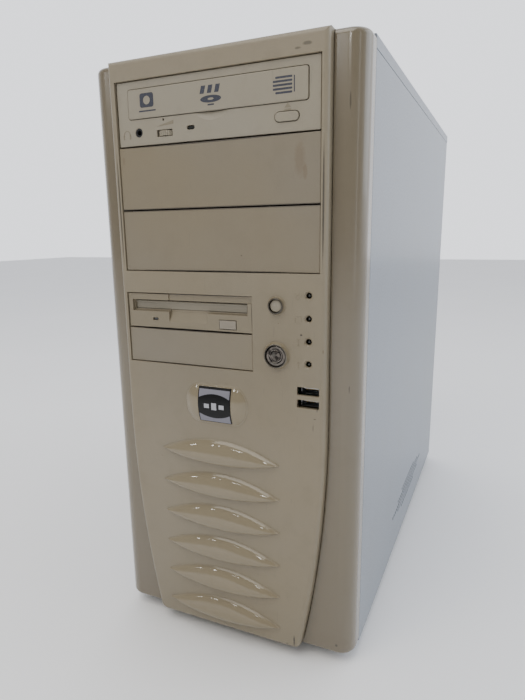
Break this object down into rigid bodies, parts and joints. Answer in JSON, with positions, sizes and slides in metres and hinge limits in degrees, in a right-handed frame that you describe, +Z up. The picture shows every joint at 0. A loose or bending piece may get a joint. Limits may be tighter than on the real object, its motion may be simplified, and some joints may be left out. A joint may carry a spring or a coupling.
{
  "type": "desktop computer tower",
  "caption": "Beige upright desktop computer case with a louvred plastic front, drive bays, push buttons, steel covers and its drives, boards, fans and power supply inside.",
  "frame": {"origin": "middle of the tower's footprint, on the surface that the feet stand on", "axes": "+X to the right seen from the front, +Y from the front towards the rear, +Z up"},
  "size_m": [0.2, 0.4439, 0.431],
  "materials": {
    "panel_plastic": "fine-grained satin, aged beige",
    "column_plastic": "smooth glossy, aged beige",
    "cover_plastic": "fine-grained satin, aged beige",
    "drive_face_plastic": "fine-grained satin, beige",
    "door_plastic": "satin, grey beige",
    "button_plastic": "glossy, pale grey",
    "badge_plate": "glossy black and silver print under clear resin",
    "bright_chrome": "bright plated plastic",
    "painted_cover": "satin paint, aged cream",
    "zinc_sheet": "zinc-plated sheet",
    "drive_steel": "plain pressed steel",
    "foot_rubber": "matt",
    "black_plastic": "matt black moulding",
    "circuit_green": "green laminate with solder mask",
    "circuit_tan": "plain tan laminate",
    "component_mix": "moulded packages and cans",
    "socket_plastic": "pale mouldings",
    "lamp_resin": "tinted clear resin",
    "bare_aluminium": "extruded, satin",
    "cast_body": "cast, satin",
    "port_mix": "plated shells with coloured mouldings",
    "screw_steel": "plated",
    "knob_steel": "nickel-plated, knurled"
  },
  "bodies": {
    "chassis": {"bezel_frame": "column_plastic", "front_panel": "panel_plastic", "bay_covers": "cover_plastic", "small_bay_cover": "cover_plastic", "badge": "badge_plate", "switch_board": "circuit_green", "indicator_lamps": "lamp_resin", "usb_sockets": "drive_steel", "bottom_pan": "zinc_sheet", "feet": "foot_rubber", "rear_plate": "zinc_sheet", "front_plate": "zinc_sheet", "motherboard_tray": "zinc_sheet", "drive_cage_upper": "zinc_sheet", "drive_cage_lower": "zinc_sheet", "top_cover": "painted_cover", "optical_case": "drive_steel", "optical_bezel": "drive_face_plastic", "optical_carriage": "black_plastic", "headphone_jack": "black_plastic", "floppy_case": "drive_steel", "floppy_bezel": "drive_face_plastic", "hard_disk_body": "cast_body", "hard_disk_board": "circuit_green", "psu_case": "zinc_sheet", "psu_inlet": "black_plastic", "psu_switch_housing": "black_plastic", "psu_board": "circuit_tan", "psu_fan_frame": "black_plastic", "rear_fan_frame": "black_plastic", "motherboard": "circuit_green", "board_components": "component_mix", "board_sockets": "socket_plastic", "memory_modules": "circuit_green", "graphics_card": "circuit_green", "slot_covers": "zinc_sheet", "io_shield": "drive_steel", "io_ports": "port_mix", "cpu_heatsink": "bare_aluminium", "cpu_fan_frame": "black_plastic", "case_screws": "screw_steel"},
    "right_cover": {"right_panel": "painted_cover"},
    "left_cover": {"left_panel": "painted_cover"},
    "right_knob_lower": {"right_thumbscrew_lower": "knob_steel"},
    "right_knob_upper": {"right_thumbscrew_upper": "knob_steel"},
    "left_knob_lower": {"left_thumbscrew_lower": "knob_steel"},
    "left_knob_upper": {"left_thumbscrew_upper": "knob_steel"},
    "power_key": {"power_button": "bright_chrome"},
    "reset_key": {"reset_button": "button_plastic"},
    "disc_tray": {"optical_tray": "black_plastic", "tray_front": "drive_face_plastic"},
    "tray_key": {"optical_eject_button": "drive_face_plastic"},
    "thumbwheel": {"volume_wheel": "button_plastic"},
    "turntable": {"disc_spindle": "black_plastic"},
    "dust_door": {"floppy_door": "door_plastic"},
    "floppy_key": {"floppy_eject_button": "button_plastic"},
    "mains_rocker": {"psu_rocker": "black_plastic"},
    "psu_blower": {"psu_fan_rotor": "black_plastic"},
    "rear_blower": {"rear_fan_rotor": "black_plastic"},
    "processor_blower": {"cpu_fan_rotor": "black_plastic"}
  },
  "joints": [
    {"name": "right_cover_slide", "type": "slide", "parent": "chassis", "child": "right_cover", "axis": [0, 1, 0], "range_m": [0, 0.41]},
    {"name": "left_cover_slide", "type": "slide", "parent": "chassis", "child": "left_cover", "axis": [0, 1, 0], "range_m": [0, 0.41]},
    {"name": "right_lower_knob_turn", "type": "hinge", "parent": "right_cover", "child": "right_knob_lower", "pos_m": [0.08825, 0.2165, 0.068], "axis": [0, 1, 0], "continuous": true},
    {"name": "right_upper_knob_turn", "type": "hinge", "parent": "right_cover", "child": "right_knob_upper", "pos_m": [0.08825, 0.2165, 0.371], "axis": [0, 1, 0], "continuous": true},
    {"name": "left_lower_knob_turn", "type": "hinge", "parent": "left_cover", "child": "left_knob_lower", "pos_m": [-0.08825, 0.2165, 0.068], "axis": [0, 1, 0], "continuous": true},
    {"name": "left_upper_knob_turn", "type": "hinge", "parent": "left_cover", "child": "left_knob_upper", "pos_m": [-0.08825, 0.2165, 0.371], "axis": [0, 1, 0], "continuous": true},
    {"name": "power_press", "type": "slide", "parent": "chassis", "child": "power_key", "axis": [0, 1, 0], "range_m": [0, 0.003], "stiffness_N_per_m": 500, "springref_m": -0.001},
    {"name": "reset_press", "type": "slide", "parent": "chassis", "child": "reset_key", "axis": [0, 1, 0], "range_m": [0, 0.002], "stiffness_N_per_m": 400, "springref_m": -0.001},
    {"name": "tray_slide", "type": "slide", "parent": "chassis", "child": "disc_tray", "axis": [0, -1, 0], "range_m": [0, 0.135]},
    {"name": "tray_key_press", "type": "slide", "parent": "chassis", "child": "tray_key", "axis": [0, 1, 0], "range_m": [0, 0.0012], "stiffness_N_per_m": 500, "springref_m": -0.001},
    {"name": "volume_turn", "type": "hinge", "parent": "chassis", "child": "thumbwheel", "pos_m": [-0.0358, -0.2076, 0.38205], "axis": [0, 0, 1], "range_deg": [-140, 140]},
    {"name": "disc_spin", "type": "hinge", "parent": "chassis", "child": "turntable", "pos_m": [0.00125, -0.1335, 0.39525], "axis": [0, 0, 1], "continuous": true},
    {"name": "dust_door_swing", "type": "hinge", "parent": "chassis", "child": "dust_door", "pos_m": [0, -0.2119, 0.2674], "axis": [1, 0, 0], "range_deg": [0, 80], "stiffness_Nm_per_rad": 0.003, "springref_deg": -28.65},
    {"name": "floppy_key_press", "type": "slide", "parent": "chassis", "child": "floppy_key", "axis": [0, 1, 0], "range_m": [0, 0.004], "stiffness_N_per_m": 200, "springref_m": -0.002},
    {"name": "mains_rocker_tilt", "type": "hinge", "parent": "chassis", "child": "mains_rocker", "pos_m": [0.042, 0.2105, 0.3745], "axis": [1, 0, 0], "range_deg": [0, 18]},
    {"name": "psu_fan_spin", "type": "hinge", "parent": "chassis", "child": "psu_blower", "pos_m": [-0.033, 0.1985, 0.3845], "axis": [0, 1, 0], "continuous": true},
    {"name": "rear_fan_spin", "type": "hinge", "parent": "chassis", "child": "rear_blower", "pos_m": [-0.042, 0.1995, 0.246], "axis": [0, 1, 0], "continuous": true},
    {"name": "processor_fan_spin", "type": "hinge", "parent": "chassis", "child": "processor_blower", "pos_m": [0.026, 0.0835, 0.258], "axis": [1, 0, 0], "continuous": true}
  ]
}
